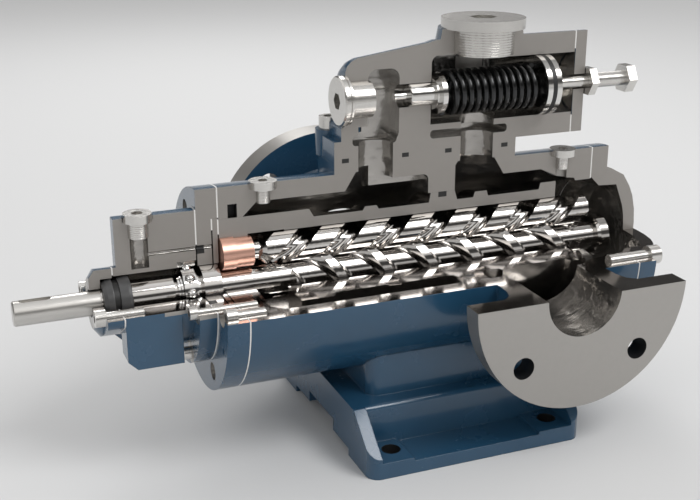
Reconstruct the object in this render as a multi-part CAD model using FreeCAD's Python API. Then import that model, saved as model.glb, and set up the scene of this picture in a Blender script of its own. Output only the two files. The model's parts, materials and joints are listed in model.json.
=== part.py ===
"""Three-screw pump with a spring-loaded relief valve, shown as a cut-open display model.

Sizes are millimetres. Every shape is built in the pump's own frame: x runs along the shaft and
is 0 at the suction nozzle, y points to the discharge side and z is 0 on the shaft axis. The
suction side looks along -y. place() then moves each shape so that the origin is the middle of
the foot's four bolt holes, on the underside.

The display cut takes one quarter (y < 0, z > 0) out of the castings, the liner and the gaskets,
and the near half (y < 0) out of the relief valve. Turning parts, screws and plugs stay whole.
"""
import FreeCAD
import Part

import math
import os

V = FreeCAD.Vector

# Frame
AXIS_HEIGHT = 135.0        # shaft axis above the underside of the foot
FOOT_X = -73.0             # middle of the foot, from the suction nozzle

# Fits
SLIP = 0.05                # radial gap of parts that stay put
RUN = 0.3                  # gap between bodies that move past each other

# Stations along the shaft
SHAFT_END = -409.0
SEAL_COVER = (-352.5, -335.0)
SEAL_HOUSING = (-334.0, -269.7)
BEARING_COVER = (-268.7, -252.0)
VENT_X = -313.0
VENT_BLOCK = (11.0, 63.5)   # half width and top of the block that carries the vent plug
CASING = (-251.0, 83.0)
REAR_COVER = (84.0, 133.0)

# Castings
CASING_R = 79.5
CAVITY_R = 65.0
BOLT_CIRCLE = 65.0         # bearing cover and rear cover
WEB = (-73.0, -48.6)       # wall between the discharge and suction chambers
PAD_X = (-155.4, 7.0)      # valve pad on top of the casing
PAD_HALF = 44.0
PAD_TOP = 88.1
CASING_PLUGS = (-214.7, 53.4)

# Nozzles: 65 mm bore, 185 mm flange, 145 mm bolt circle, 18 mm holes
NOZZLE_BORE = 32.5
NECK_R = 50.0
FLANGE_R = 92.5
FLANGE_BOLT_CIRCLE = 72.5
FLANGE_HOLE_R = 9.0
SUCTION_X = 0.0
SUCTION_FACE = -128.0
SUCTION_THICK = 18.0
DISCHARGE_X = -129.0
DISCHARGE_FACE = 116.0
DISCHARGE_THICK = 26.0

# Foot
FOOT_ENDS = (-168.5, 19.0)
FOOT_HALF_Y = 107.0
FOOT_HOLE_X = 70.0         # half the spacing along the shaft
FOOT_HOLE_Y = 87.5         # half the spacing across
FOOT_HOLE_R = 7.5
FOOT_PLATE = 11.0
FOOT_PAD = 13.5
FOOT_WALL = 10.0
FOOT_CORNER = 10.0
FOOT_BLOCK = (73.0, 45.0)  # half width and height of the block between the end walls
SADDLE_HALF = 57.0         # half width of the saddle under the casing

# Screws (rotors)
ROTOR_PITCH_R = 12.9
ROTOR_SPACING = 2 * ROTOR_PITCH_R
DRIVER_TIP = 21.5
DRIVER_ROOT = ROTOR_PITCH_R - RUN
IDLER_TIP = ROTOR_PITCH_R
IDLER_ROOT = ROTOR_SPACING - DRIVER_TIP - RUN
LEAD = 80.0
DRIVER_THREAD = (-195.5, 60.0)
IDLER_THREAD = (-222.0, 76.0)
FLANK_GAP = 1.0            # degrees taken off each flank of every rotor

# Shaft
SHAFT_R = 9.5
JOURNAL_R = 10.0           # bearing and seal seats
GUIDE_R = 12.5             # beside the threads, in the liner's bore
COLLAR_R = 18.5
CHANNEL_Z = 33.2           # oil channel from the vent plug to the upper idler's bush

# Ball bearing, 20 x 47 x 14
BEARING = (-285.0, -271.0)
BEARING_OUTER_R = 23.5
BALL_R = 3.97
BALL_CIRCLE = 16.75
BALLS = 9

# Relief valve
VALVE_Z = 138.0            # axis of the valve above the shaft
VALVE_BORE = 25.2
VALVE_R = 42.6
VALVE_START = -146.0
VALVE_END = 59.2
VALVE_COVER = (60.2, 70.5)
PORT_X = (-120.0, -29.5)
PORT_R = 15.0
TOP_PLUG_X = -27.7
TOP_PLUG_R = 25.2
PORT_SEAL = 3.6            # depth of the port seal grooves
SPINDLE_R = 4.75
SPINDLE_THREAD_R = 6.0
COLLAR_END = -65.0         # right face of the piston's collar
PLATE = (21.0, 34.0)       # spring plate
SPRING = (-64.6, 20.8)
SPRING_R = 18.5
SPRING_WIRE_R = 2.25
SPRING_TURNS = 12.5
VALVE_SCREWS = ((-147.0, 34.0), (-75.0, 37.0), (-1.0, 37.0))                       # x, y
VALVE_COVER_SCREWS = ((24.0, 114.0), (24.0, 162.0))                                # y, z

# Socket head screws: shank radius, head radius, head height, hexagon across flats
M6 = (3.0, 5.0, 6.0, 5.0)
M8 = (4.0, 6.5, 8.0, 6.0)
M10 = (5.0, 8.0, 10.0, 8.0)
SIXTH_TURNS = (0, 60, 180, 240, 300)   # the sixth screw, at 120 degrees, is in the cut quarter

FAR = 600.0
X_AXIS = V(1, 0, 0)
Y_AXIS = V(0, 1, 0)
Z_AXIS = V(0, 0, 1)


def box(x, y, z):
    """Box between the two values of each axis."""
    return Part.makeBox(x[1] - x[0], y[1] - y[0], z[1] - z[0], V(x[0], y[0], z[0]))


def rod(radius, span, y=0.0, z=0.0):
    """Cylinder along the shaft direction."""
    return Part.makeCylinder(radius, span[1] - span[0], V(span[0], y, z), X_AXIS)


def rod_y(radius, span, x=0.0, z=0.0):
    """Cylinder across the shaft, level."""
    return Part.makeCylinder(radius, span[1] - span[0], V(x, span[0], z), Y_AXIS)


def rod_z(radius, span, x=0.0, y=0.0):
    """Upright cylinder."""
    return Part.makeCylinder(radius, span[1] - span[0], V(x, y, span[0]), Z_AXIS)


def ring(outer, inner, span, y=0.0, z=0.0):
    """Flat ring round the shaft direction."""
    return rod(outer, span, y, z).cut(rod(inner, (span[0] - 1, span[1] + 1), y, z))


def fused(shapes):
    """One solid out of overlapping ones."""
    return shapes[0].multiFuse(shapes[1:]).removeSplitter()


def turned(outline, y=0.0, z=0.0):
    """Solid of revolution about the shaft direction from (x, radius) points."""
    points = [V(x, 0, r) for x, r in outline]
    face = Part.Face(Part.makePolygon(points + points[:1]))
    shape = face.revolve(V(0, 0, 0), X_AXIS, 360)
    shape.translate(V(0, y, z))
    return shape


def slab(outline, y):
    """Outline of (x, z) points drawn out between two values of y."""
    points = [V(x, y[0], z) for x, z in outline]
    return Part.Face(Part.makePolygon(points + points[:1])).extrude(V(0, y[1] - y[0], 0))


def rib(outline, x):
    """Outline of (y, z) points drawn out between two values of x."""
    points = [V(x[0], y, z) for y, z in outline]
    return Part.Face(Part.makePolygon(points + points[:1])).extrude(V(x[1] - x[0], 0, 0))


def hexagon(flats, span, y=0.0, z=0.0):
    """Six-sided bar along the shaft direction."""
    corner = flats / math.sqrt(3)
    angles = [math.radians(60 * i) for i in range(6)]
    return rib([(y + corner * math.cos(a), z + corner * math.sin(a)) for a in angles], span)


def on_circle(radius, degrees):
    """(y, z) of a place on a circle round the shaft; 0 degrees is +y and 90 degrees is +z."""
    angle = math.radians(degrees)
    return radius * math.cos(angle), radius * math.sin(angle)


def rounded_edges(shape, radius, direction):
    """Fillet on the straight edges that run along one axis."""
    edges = []
    for edge in shape.Edges:
        if edge.Curve.TypeId == "Part::GeomLine" and abs(edge.Curve.Direction.dot(direction)) > 0.99:
            edges.append(edge)
    return shape.makeFillet(radius, edges)


def quarter_out(shape):
    """The display cut of the pump."""
    return shape.cut(box((-FAR, FAR), (-FAR, 0), (0, FAR)))


def half_out(shape):
    """The display cut of the relief valve."""
    return shape.cut(box((-FAR, FAR), (-FAR, 0), (-FAR, FAR)))


def place(name, shape):
    """Move one shape to the foot's frame and write it."""
    moved = shape.copy()
    moved.translate(V(-FOOT_X, 0, AXIS_HEIGHT))
    moved.exportStep("parts/" + name + ".step")


def cap_screw(size, tip, shank):
    """Socket head screw with its tip at x = tip, its shank towards -x and its head at the end."""
    shank_r, head_r, head_h, flats = size
    seat = tip - shank
    head = rod(head_r, (seat - head_h, seat))
    head = head.cut(hexagon(flats, (seat - head_h - 1, seat - 0.45 * head_h)))
    return head.fuse(rod(shank_r, (seat, tip))).removeSplitter()


def screw_set(size, tip, shank, radius, angles, flip=False):
    """The same screw at several angles round the shaft; flip puts the heads on the +x side."""
    screws = []
    for angle in angles:
        screw = cap_screw(size, 0.0, shank)
        if flip:
            screw.rotate(V(0, 0, 0), Z_AXIS, 180)
        y, z = on_circle(radius, angle)
        screw.translate(V(tip, y, z))
        screws.append(screw)
    return Part.makeCompound(screws)


def round_holes(radius, span, circle, angles):
    """Holes along the shaft direction on a circle."""
    return [rod(radius, span, *on_circle(circle, angle)) for angle in angles]


def flange_holes(x, y, angles):
    """Nozzle flange holes along y."""
    holes = []
    for angle in angles:
        dx, dz = on_circle(FLANGE_BOLT_CIRCLE, angle)
        holes.append(rod_y(FLANGE_HOLE_R, y, x + dx, dz))
    return holes


def nozzle(x, face, thick):
    """Neck that widens to a round flange; face is the y of the flange's sealing face."""
    side = -1 if face < 0 else 1
    back = abs(face) - thick
    outline = [(40, 0), (40, NECK_R), (back - 16, NECK_R), (back - 6, NECK_R + 3), (back, NECK_R + 10),
               (back, FLANGE_R), (abs(face), FLANGE_R), (abs(face), 0)]
    shape = turned(outline)
    shape.rotate(V(0, 0, 0), Z_AXIS, 90 * side)
    shape.translate(V(x, 0, 0))
    return shape


def casing_bore():
    """Inside of the casing: chambers, web opening, rises to the valve ports and nozzle bores."""
    front = turned([(-235, 0), (-235, 50.6), (-220, CAVITY_R), (WEB[0], CAVITY_R), (WEB[0], 0)])
    rear = turned([(WEB[1], 0), (WEB[1], CAVITY_R), (33, CAVITY_R), (52.5, 56), (67, 54), (68, 51.5),
                   (90, 51.5), (90, 0)])
    spaces = [front, rear, rod(54.0 + SLIP, (-260, -230)), rod(55.5 + SLIP, (-80, -40))]
    for x, sides in zip(PORT_X, ((-FAR, PORT_X[0]), (WEB[1], FAR))):
        spaces.append(rod_z(PORT_R, (50, 100), x))
        cone = Part.makeCone(32, 17, 24, V(x, 0, 56), Z_AXIS)
        spaces.append(cone.common(box(sides, (-FAR, FAR), (0, FAR))))
    spaces.append(rounded_edges(box((PORT_X[0], WEB[0]), (-15, 15), (40, 72)), 5.0, Y_AXIS))
    spaces.append(box((-243.5, -236), (-8, 8), (50, 65)))
    spaces.append(rod_y(NOZZLE_BORE, (-140, -30), SUCTION_X))
    spaces.append(rod_y(NOZZLE_BORE, (30, 130), DISCHARGE_X))
    return spaces


def casing_holes():
    """Tapped holes, plug seats and flange holes of the casing."""
    holes = round_holes(M8[0] + SLIP, (-260, -235.4), BOLT_CIRCLE, SIXTH_TURNS)
    holes += round_holes(M10[0] + SLIP, (61.8, 90), BOLT_CIRCLE + 1, SIXTH_TURNS)
    for x in CASING_PLUGS:
        holes.append(rod_z(5.5 + SLIP, (52, 90), x))
        holes.append(rod_z(11 + SLIP, (75.5, 90), x))
    for x, y in VALVE_SCREWS:
        holes.append(rod_z(M10[0] + SLIP, (70, 90), x, y))
    holes += flange_holes(SUCTION_X, (-140, -100), (45, 135, 225, 315))
    holes += flange_holes(DISCHARGE_X, (80, 130), (45, 135, 225, 315))
    return holes


def pump_casing():
    pad = rounded_edges(box(PAD_X, (-PAD_HALF, PAD_HALF), (0, PAD_TOP)), 8.0, Z_AXIS)
    body = fused([rod(CASING_R, CASING), pad, nozzle(SUCTION_X, SUCTION_FACE, SUCTION_THICK),
                  nozzle(DISCHARGE_X, DISCHARGE_FACE, DISCHARGE_THICK)])
    return quarter_out(body.cut(casing_bore() + casing_holes()))


def foot_end_wall(x):
    """Wall across one end of the foot: low at the bolt holes, then as high as the block."""
    low = -AXIS_HEIGHT
    y, height = FOOT_BLOCK
    outline = [(-FOOT_HALF_Y, low), (-FOOT_HALF_Y, low + 17), (-y, low + height)]
    outline += [(-y, z) for y, z in reversed(outline)]
    return rib(outline, x)


def pump_foot():
    low = -AXIS_HEIGHT
    x = FOOT_ENDS
    inner = (x[0] + FOOT_WALL, x[1] - FOOT_WALL)
    block_y, block_top = FOOT_BLOCK
    plate = box(x, (-FOOT_HALF_Y, FOOT_HALF_Y), (low, low + FOOT_PLATE))
    solids = [plate, foot_end_wall((x[0], inner[0])), foot_end_wall((inner[1], x[1]))]
    block = box(x, (-block_y, block_y), (low + 2, low + block_top))
    solids.append(rounded_edges(block, 4.0, X_AXIS))
    saddle = box((x[0] + 20, x[1] - 17), (-SADDLE_HALF, SADDLE_HALF), (low + 5, -42))
    solids.append(rounded_edges(saddle, 10.0, Z_AXIS))
    for side in (-1, 1):
        y = sorted((side * (block_y - 1), side * FOOT_HALF_Y))
        solids.append(box((inner[0], -131.5), y, (low, low + FOOT_PAD)))
        solids.append(box((-20.8, inner[1]), y, (low, low + FOOT_PAD)))
    body = fused(solids)
    corners = rounded_edges(box(x, (-FOOT_HALF_Y, FOOT_HALF_Y), (low, 0)), FOOT_CORNER, Z_AXIS)
    body = body.common(corners)
    arch = [rod(CASING_R + SLIP, (-FAR, FAR)), box((-FAR, FAR), (-62, 62), (low - 1, low + 6)),
            box((-FAR, FAR), (-28, 28), (low - 1, low + 16))]
    for dx in (-FOOT_HOLE_X, FOOT_HOLE_X):
        for dy in (-FOOT_HOLE_Y, FOOT_HOLE_Y):
            arch.append(rod_z(FOOT_HOLE_R, (low - 1, low + 40), FOOT_X + dx, dy))
    return body.cut(arch)


def bearing_cover():
    body = rod(CASING_R, BEARING_COVER)
    cuts = [rod(COLLAR_R + RUN, (-300, -200)), rod(55.0 + SLIP, (-257, -200))]
    cuts.append(ring(35.2, 28.4, (-280, -263)))
    cuts.append(rod(1.6, (-280, -250), 0, CHANNEL_Z))
    cuts += round_holes(M8[0] + 0.5, (-280, -240), BOLT_CIRCLE, SIXTH_TURNS)
    cuts += round_holes(7.0, (-280, -258), BOLT_CIRCLE, SIXTH_TURNS)
    cuts += round_holes(M6[0] + 0.3, (-280, -240), 48, SIXTH_TURNS)
    cuts.append(rod(2.5, (-280, -262), *on_circle(70, 202)))
    return quarter_out(body.cut(cuts))


def bearing_cover_oring():
    return quarter_out(ring(35.1, 28.5, (-268.7, -263.1)).cut(rod(1.6, (-280, -250), 0, CHANNEL_Z)))


def bush_retainer():
    body = ring(55, COLLAR_R + RUN, (-256, -252))
    return quarter_out(body.cut(round_holes(M6[0] + 0.3, (-280, -240), 48, SIXTH_TURNS)))


def retainer_gasket():
    body = ring(55, 46, (-257, -256))
    return quarter_out(body.cut(round_holes(M6[0] + 0.3, (-280, -240), 48, SIXTH_TURNS)))


def liner_gasket():
    body = ring(54, 42, (-252, -251))
    return quarter_out(body.cut(round_holes(M6[0] + 0.3, (-280, -240), 48, SIXTH_TURNS)))


def casing_front_gasket():
    body = ring(CASING_R, 55.5, (-252, -251))
    return quarter_out(body.cut(round_holes(M8[0] + 0.5, (-280, -240), BOLT_CIRCLE, SIXTH_TURNS)))


def casing_rear_gasket():
    body = ring(CASING_R, 52, (83, 84))
    return quarter_out(body.cut(round_holes(M10[0] + 0.5, (70, 100), BOLT_CIRCLE + 1, SIXTH_TURNS)))


def seal_housing():
    back = SEAL_HOUSING[1]
    half, top = VENT_BLOCK
    block = rounded_edges(box((-331.5, back), (-half, half), (0, top)), 3.0, X_AXIS)
    tube = rod(40.0, (-305, back))
    throat = rod(26.0, SEAL_HOUSING)
    solids = [block, tube, throat, rod(56.0, (-283, back))]
    front, low = SEAL_HOUSING[0], -42.0
    wall = [(front, 0), (front, -35), (front + 7, low), (-292, low), (-292, 0)]
    solids += [slab(wall, (-40, -20)), slab(wall, (20, 40))]
    body = fused(solids)
    cuts = [rod(19.2, (-400, -280)), rod(BEARING_OUTER_R + SLIP, (BEARING[0], -200))]
    for side in (-1, 1):
        y = sorted((side * 42.0, side * 60.0))
        cuts.append(box((-300, -283), y, (-60, 60)))
    for angle in SIXTH_TURNS:
        y, z = on_circle(48, angle)
        cuts.append(rod(8.5, (-305, -283), y, z))
        cuts.append(rod(M6[0] + 0.3, (-290, -260), y, z))
    cuts.append(rod_z(6.8, (22.5, 60), VENT_X))
    cuts.append(rod_z(7.6 + SLIP, (47.5, 70), VENT_X))
    cuts.append(rod_z(11.5, (60.2, 80), VENT_X))
    cuts.append(rod(1.6, (-308, -260), 0, CHANNEL_Z))
    for side in (-1, 1):
        cuts.append(rod(M8[0] + SLIP, (-340, -318), side * 32.0))
    return quarter_out(body.cut(cuts))


def rhombic(radius, lobe, span):
    """Two-lobed cover outline: a middle disc, two lobes at the screws and the tangents between."""
    reach = 32.0
    lean = math.asin((radius - lobe) / reach)
    points = []
    for side in (1, -1):
        for up in (1, -1):
            turn = up * side
            normal = (side * math.sin(lean), turn * math.cos(lean))
            inner = (radius * normal[0], radius * normal[1])
            outer = (side * reach + lobe * normal[0], lobe * normal[1])
            points += [inner, outer] if up == 1 else [outer, inner]
    web = rib(points, span)
    return fused([web, rod(radius, span), rod(lobe, span, reach), rod(lobe, span, -reach)])


def seal_cover():
    nose = turned([(-352.5, 0), (-352.5, 19.5), (-348, 25.7), (-340, 25.7), (-340, 0)])
    body = nose.fuse(rhombic(25.7, 10.0, (-347, SEAL_COVER[1]))).removeSplitter()
    cuts = [rod(JOURNAL_R + 0.7, (-400, -330)), rod(18.0, (-344, -330))]
    for side in (-1, 1):
        cuts.append(rod(M8[0] + 0.3, (-360, -330), side * 32.0))
        cuts.append(rod(M8[1] + RUN, (-360, -347), side * 32.0))
    return quarter_out(body.cut(cuts))


def seal_cover_gasket():
    span = (SEAL_COVER[1], SEAL_HOUSING[0])
    body = rhombic(25.7, 10.0, span)
    cuts = [rod(20.0, (-340, -330))]
    cuts += [rod(M8[0] + 0.3, (-340, -330), side * 32.0) for side in (-1, 1)]
    return quarter_out(body.cut(cuts))


def bearing_gasket():
    span = (SEAL_HOUSING[1], BEARING_COVER[0])
    half, top = VENT_BLOCK
    body = rod(56.0, span).fuse(box(span, (-half, half), (0, top))).cut(rod(36.0, (-280, -260)))
    return quarter_out(body.cut(round_holes(M6[0] + 0.3, (-280, -260), 48, SIXTH_TURNS)))


def rear_cover():
    outer = [(84, 0), (84, CASING_R), (100, CASING_R), (100, 60.5), (105, 58.5), (118, 51.5), (125, 40.5),
             (129, 31.5), (132, 18.5), (133, 6), (133, 0)]
    inner = [(80, 0), (80, 53), (84, 53), (92.9, 44.3), (111, 43.4), (119, 23), (121, 13.4), (122, 0)]
    cuts = [turned(inner)]
    cuts += round_holes(M10[0] + 0.5, (70, 110), BOLT_CIRCLE + 1, SIXTH_TURNS)
    cuts += round_holes(8.5, (100, 130), BOLT_CIRCLE + 1, SIXTH_TURNS)
    return quarter_out(turned(outer).cut(cuts))


def rotor_liner():
    """Round liner with five collars; the three rotor bores overlap along its middle."""
    body, collar = 47.3, 54.0
    outline = [(-251, 0), (-251, collar), (-177, collar), (-173, body), (-131, body), (-129, 50.5),
               (-119, 50.5), (-117, body), (-72, body), (-70.5, 55.5), (-48.6, 55.5), (-46, body),
               (-31, body), (-29.5, 52), (-18.5, 52), (-17, body), (32, body), (33.5, 53), (48.5, 53),
               (48.5, 0)]
    cuts = [rod(DRIVER_TIP + RUN, (-228, 60)), rod(GUIDE_R + RUN, (-260, -220))]
    for z in (ROTOR_SPACING, -ROTOR_SPACING):
        cuts.append(rod(IDLER_TIP + RUN, (-226, 60), 0, z))
        cuts.append(rod(12.9 + SLIP, (-260, -240), 0, z))
        cuts.append(rod(12.0 + SLIP, (-242, -220), 0, z))
        cuts.append(rod(13.9, (-228, -198), 0, z))
    for y in ((-FAR, -15), (15, FAR)):
        cuts.append(box((-228, -203), y, (-9, 9)))
    cuts.append(ring(60, 51, (-63.6, -56)))
    cuts += round_holes(M6[0] + SLIP, (-260, -236.4), 48, SIXTH_TURNS)
    return quarter_out(turned(outline).cut(cuts))


def liner_seal():
    return quarter_out(ring(55.45, 51.05, (-63.5, -56.1)))


def at(radius, angle):
    """Place on a rotor section, in the plane across the shaft."""
    return V(0, radius * math.cos(angle), radius * math.sin(angle))


def spline(points):
    """Smooth edge through points."""
    curve = Part.BSplineCurve()
    curve.interpolate(points)
    return curve.toShape()


def driver_flank():
    """(radius, angle) points of the cycloid that an idler's tip draws on the driving screw."""
    end = math.acos(1.25 - (DRIVER_TIP / ROTOR_PITCH_R) ** 2 / 4)
    flank = []
    for i in range(7):
        t = end * i / 6
        y = ROTOR_PITCH_R * (2 * math.cos(t) - math.cos(2 * t))
        z = ROTOR_PITCH_R * (2 * math.sin(t) - math.sin(2 * t))
        flank.append((math.hypot(y, z), math.atan2(z, y)))
    return flank


def idler_flank():
    """(radius, angle) points of the groove flank that the driver's tip cuts in an idler."""
    reach = ROTOR_SPACING
    tip = DRIVER_TIP + RUN
    end = math.acos((reach ** 2 + tip ** 2 - IDLER_TIP ** 2) / (2 * reach * tip))
    flank = []
    for i in range(7):
        t = end * i / 6
        y = reach * math.cos(t) - tip * math.cos(2 * t)
        z = reach * math.sin(t) - tip * math.sin(2 * t)
        flank.append((math.hypot(y, z), math.atan2(z, y)))
    return flank


def driver_section():
    """Closed outline of the driving screw: two lobes on the root circle."""
    half = math.radians(45 - FLANK_GAP)
    flank = driver_flank()
    edges = []
    for lobe in (0, math.pi):
        rising = [at(r, lobe - half + a) for r, a in flank]
        falling = [at(r, lobe + half - a) for r, a in reversed(flank)]
        rising[0] = at(DRIVER_ROOT, lobe - half)
        falling[-1] = at(DRIVER_ROOT, lobe + half)
        edges.append(spline(rising))
        edges.append(Part.Arc(rising[-1], at(DRIVER_TIP, lobe), falling[0]).toShape())
        edges.append(spline(falling))
        valley = at(DRIVER_ROOT, lobe + math.pi / 2)
        edges.append(Part.Arc(falling[-1], valley, at(DRIVER_ROOT, lobe + math.pi - half)).toShape())
    return Part.Wire(edges)


def idler_section():
    """Closed outline of an idler: two grooves, open to +y and -y, in the tip circle."""
    flank = idler_flank()
    edge = math.radians(45 + FLANK_GAP)
    steps = [(r, edge + flank[-1][1] - a) for r, a in flank]
    edges = []
    for groove in (0, math.pi):
        rising = [at(r, groove + a) for r, a in steps]
        falling = [at(r, groove - a) for r, a in reversed(steps)]
        edges.append(spline(falling))
        edges.append(Part.Arc(falling[-1], at(IDLER_ROOT, groove), rising[0]).toShape())
        edges.append(spline(rising))
        land = at(IDLER_TIP, groove + math.pi / 2)
        edges.append(Part.Arc(rising[-1], land, at(IDLER_TIP, groove + math.pi - edge)).toShape())
    return Part.Wire(edges)


def screw_thread(section, span, left_handed):
    """Section drawn along the shaft direction while it turns once in each lead."""
    length = span[1] - span[0]
    spine = Part.Wire([Part.makeLine(V(0, 0, 0), V(length, 0, 0))])
    helix = Part.makeLongHelix(LEAD, length, DRIVER_TIP, 0, left_handed)
    helix.rotate(V(0, 0, 0), Y_AXIS, 90)
    sweep = Part.BRepOffsetAPI.MakePipeShell(spine)
    sweep.setAuxiliarySpine(Part.Wire(helix.Edges), True, 0)
    sweep.add(section, False, False)
    sweep.build()
    sweep.makeSolid()
    shape = sweep.shape()
    shape.translate(V(span[0], 0, 0))
    return shape


def drive_screw():
    thread = screw_thread(driver_section(), DRIVER_THREAD, False)
    front = turned([(SHAFT_END, 0), (SHAFT_END, 8.5), (SHAFT_END + 1, SHAFT_R), (-345, SHAFT_R),
                    (-345, JOURNAL_R), (-270.95, JOURNAL_R), (-270.95, GUIDE_R),
                    (-268, GUIDE_R), (-268, COLLAR_R), (-254, COLLAR_R), (-254, GUIDE_R),
                    (-191, GUIDE_R), (-191, 0)])
    rear = turned([(59, 0), (59, GUIDE_R), (85, GUIDE_R), (85, 16.5), (87, COLLAR_R),
                   (95, COLLAR_R), (95, 0)])
    key_seat = rounded_edges(box((-404, -380.5), (-3, 3), (6, 12)), 2.9, Z_AXIS)
    return fused([thread, front, rear]).cut(key_seat)


def idler_screw(z):
    thread = screw_thread(idler_section(), IDLER_THREAD, True)
    start, end = IDLER_THREAD
    blank = turned([(start, 0), (start, 7), (start + 7, 14), (end - 1, 14), (end, 12), (end, 0)])
    journal = rod(7.5, (-241, start + 2))
    shape = fused([thread.common(blank), journal])
    phase = 360.0 * (DRIVER_THREAD[0] - start) / LEAD
    shape.rotate(V(0, 0, 0), X_AXIS, phase)
    shape.translate(V(0, 0, z))
    return shape


def idler_bush(z):
    """Bronze cup in the front of the liner that carries one idler's journal."""
    body = fused([rod(12.9, (-251, -240), 0, z), rod(12.0, (-240, -226), 0, z)])
    return body.cut(rod(7.5 + RUN, (-244, -220), 0, z))


def bearing_groove():
    return Part.makeTorus(BALL_CIRCLE, BALL_R + 0.23, V(sum(BEARING) / 2, 0, 0), X_AXIS)


def bearing_outer_ring():
    return quarter_out(ring(BEARING_OUTER_R, 19.4, BEARING).cut(bearing_groove()))


def bearing_inner_ring():
    return ring(14.1, JOURNAL_R + SLIP, BEARING).cut(bearing_groove())


def ball_places():
    return [on_circle(BALL_CIRCLE, 360.0 * i / BALLS + 10) for i in range(BALLS)]


def bearing_balls():
    middle = sum(BEARING) / 2
    return Part.makeCompound([Part.makeSphere(BALL_R, V(middle, y, z)) for y, z in ball_places()])


def bearing_cage():
    middle = sum(BEARING) / 2
    band = ring(17.9, 15.6, (middle - 5, middle + 5))
    pockets = [Part.makeCylinder(BALL_R + SLIP, 30, V(middle, 0, 0), V(0, y, z)) for y, z in ball_places()]
    return band.cut(pockets)


def shaft_circlip():
    return ring(13.2, JOURNAL_R + SLIP, (-286.9, -285.4))


def shaft_sleeve():
    return ring(13.7, JOURNAL_R + SLIP, (-322, -290))


def seal_seat():
    """Fixed seal ring, pressed into the seal cover."""
    outline = [(-343.5, JOURNAL_R + 0.7), (-343.5, 14), (-341, 16), (-337, 17), (-336.2, 17),
               (-336.2, JOURNAL_R + 0.7)]
    return turned(outline)


def seal_bellows():
    return ring(15.5, JOURNAL_R + SLIP, (-336, -331.5))


def seal_ring():
    outline = [(-331.5, JOURNAL_R + SLIP), (-331.5, 16.8), (-325, 17.6), (-323, 17.6),
               (-323, JOURNAL_R + SLIP)]
    return turned(outline)


def plug(head_r, head_z, thread_r, tip_z, flats, x):
    """Upright hexagon-socket plug."""
    head = rod_z(head_r, head_z, x)
    socket = hexagon(flats, (0, 0.7 * (head_z[1] - head_z[0]) + 1))
    socket.rotate(V(0, 0, 0), Y_AXIS, 90)
    socket.translate(V(x, 0, head_z[1] + 1))
    return fused([head, rod_z(thread_r, (tip_z, head_z[0]), x)]).cut(socket)


def casing_plugs():
    return Part.makeCompound([plug(11, (75.5, 81.5), 5.5, 64, 7, x) for x in CASING_PLUGS])


def vent_plug():
    return plug(10.9, (60.2, 66.6), 7.6, 47.8, 8, VENT_X)


def valve_body_solid():
    """Outside of the relief valve body before the display cut: a round body on a neck and a base."""
    left = VALVE_START
    profile = [(left, 0), (left, 22), (left + 1.5, 26.5), (left + 5, 30), (left + 10, 32.2), (-75, 40.8),
               (-68, VALVE_R), (VALVE_END, VALVE_R), (VALVE_END, 0)]
    front = [(PAD_X[0], PAD_TOP), (PAD_X[0], 105.5), (left - 3.5, 105.5), (left - 3.5, 116), (left, 118),
             (left, VALVE_Z), (PAD_X[1], VALVE_Z), (PAD_X[1], PAD_TOP)]
    neck = box((-75, PAD_X[1]), (-36, 36), (PAD_TOP, VALVE_Z))
    base = rounded_edges(box(PAD_X, (-PAD_HALF, PAD_HALF), (PAD_TOP, 105.5)), 8.0, Z_AXIS)
    boss = Part.makeCone(40, 36, 22.5, V(TOP_PLUG_X, 0, 166), Z_AXIS)
    lugs = [rod_z(11, (PAD_TOP, 109.5), x, y) for x, y in VALVE_SCREWS]
    return fused([turned(profile, 0, VALVE_Z), slab(front, (-30, 30)), neck, base, boss] + lugs)


def valve_body():
    cuts = [rod(VALVE_BORE, (-72.3, 80), 0, VALVE_Z)]
    cuts.append(rounded_edges(box((-127, -100), (-19, 19), (102, 160.5)), 8.0, Y_AXIS))
    cuts.append(rounded_edges(box((-140, -102), (-17, 17), (101, 109)), 3.0, Y_AXIS))
    cuts.append(rod(14.4 + SLIP, (-160, -120), 0, VALVE_Z))
    cuts.append(rod(20, (-160, VALVE_START), 0, VALVE_Z))
    cuts.append(rod(9.0 + RUN, (-110, -70), 0, VALVE_Z))
    cuts.append(rounded_edges(box((-72.3, -5), (-22, 22), (138, 168)), 6.0, Y_AXIS))
    cuts.append(rounded_edges(box((-72.3, -2), (-20, 20), (101, 108)), 3.0, Y_AXIS))
    cuts.append(rod_z(TOP_PLUG_R + SLIP, (150, 200), TOP_PLUG_X))
    for x in PORT_X:
        cuts.append(rod_z(PORT_R, (80, 116), x))
        groove = (80, PAD_TOP + PORT_SEAL)
        cuts.append(rod_z(29, groove, x).cut(rod_z(23, groove, x)))
    for x, y in VALVE_SCREWS:
        cuts.append(rod_z(M10[0] + 0.5, (80, 112), x, y))
        cuts.append(rod_z(M10[1] + 0.7, (109.5, 135), x, y))
    cuts += valve_cover_holes(M8[0] + SLIP, (47.9, 80))
    return half_out(valve_body_solid().cut(cuts))


def valve_cover_holes(radius, span):
    return [rod(radius, span, y, z) for y, z in VALVE_COVER_SCREWS]


def valve_cover():
    plate = rod(VALVE_R, VALVE_COVER, 0, VALVE_Z).cut(rod(SPINDLE_THREAD_R + RUN, (50, 80), 0, VALVE_Z))
    return half_out(plate.cut(valve_cover_holes(M8[0] + 0.5, (40, 90))))


def valve_cover_gasket():
    plate = ring(VALVE_R, 28, (VALVE_END, VALVE_COVER[0]), 0, VALVE_Z)
    return half_out(plate.cut(valve_cover_holes(M8[0] + 0.5, (40, 90))))


def valve_cover_screws():
    screws = []
    for y, z in VALVE_COVER_SCREWS:
        screw = cap_screw(M8, 0.0, 22.0)
        screw.rotate(V(0, 0, 0), Z_AXIS, 180)
        screw.translate(V(VALVE_COVER[1] - 22.0, y, z))
        screws.append(screw)
    return Part.makeCompound(screws)


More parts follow.
